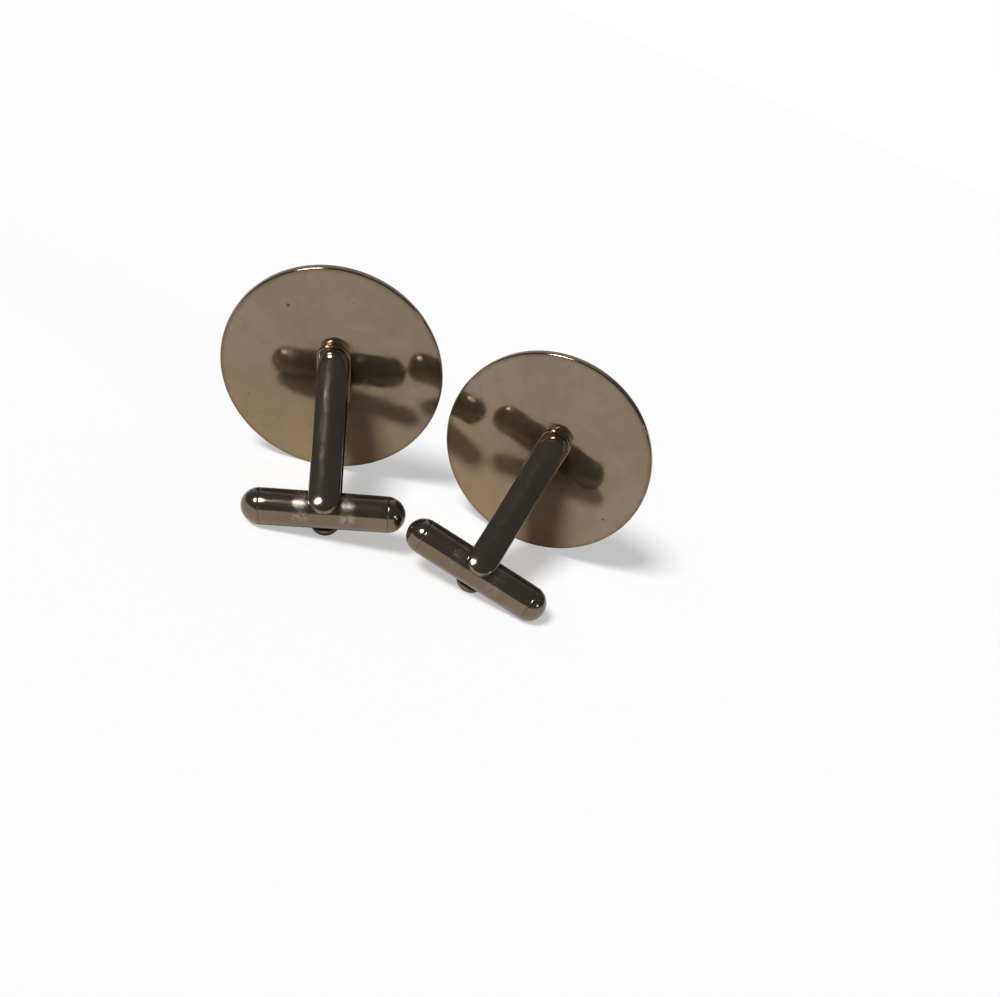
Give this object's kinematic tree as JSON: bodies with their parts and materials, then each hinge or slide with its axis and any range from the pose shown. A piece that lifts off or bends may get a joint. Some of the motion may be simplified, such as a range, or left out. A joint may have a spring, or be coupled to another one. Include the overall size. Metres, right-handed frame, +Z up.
{
  "type": "cufflink",
  "caption": "Round-faced cufflinks with slanted forked posts and bullet-shaped toggle bars that pivot in line with the post, lying as a matched set.",
  "frame": {"origin": "on the table, below the middle of the box that holds both cufflinks", "axes": "+Z up from the table; +X from the left cufflink towards the right one; +Y from the toggles towards the faces"},
  "size_m": [0.05, 0.0248, 0.0249],
  "materials": {
    "plate_gilt": "polished pale antique gold plate with fine wear, smudges and a dark speck or two",
    "face_gilt": "plain satin gold plate with a fine turned grain",
    "post_gilt": "polished pale antique gold plate, rubbed and slightly pitted along its crown",
    "toggle_gilt": "polished pale antique gold plate with faint lengthways scratches",
    "pin_steel": "ground steel",
    "spring_steel": "rolled spring steel"
  },
  "bodies": {
    "right_cufflink": {"right_back_plate": "plate_gilt", "right_face_inlay": "face_gilt", "right_post_frame": "post_gilt", "right_pivot_pin": "pin_steel"},
    "right_toggle": {"right_toggle_barrel": "toggle_gilt", "right_toggle_outer_cap": "toggle_gilt", "right_toggle_inner_cap": "toggle_gilt", "right_detent_spring": "spring_steel"},
    "left_cufflink": {"left_back_plate": "plate_gilt", "left_face_inlay": "face_gilt", "left_post_frame": "post_gilt", "left_pivot_pin": "pin_steel"},
    "left_toggle": {"left_toggle_barrel": "toggle_gilt", "left_toggle_outer_cap": "toggle_gilt", "left_toggle_inner_cap": "toggle_gilt", "left_detent_spring": "spring_steel"}
  },
  "joints": [
    {"name": "right_toggle_pivot", "type": "hinge", "parent": "right_cufflink", "child": "right_toggle", "pos_m": [0.012, -0.00516, 0.0033], "axis": [0.2088, -0.5148, 0.8315], "range_deg": [-90, 90], "deforming": ["right_detent_spring"]},
    {"name": "left_toggle_pivot", "type": "hinge", "parent": "left_cufflink", "child": "left_toggle", "pos_m": [-0.00556, -0.00764, 0.0033], "axis": [0.0708, -0.551, 0.8315], "range_deg": [-90, 90], "deforming": ["left_detent_spring"]},
    {"name": "left_cufflink_lift", "type": "slide", "parent": "right_cufflink", "child": "left_cufflink", "axis": [0, 0, 1], "range_m": [0, 0.03]}
  ]
}
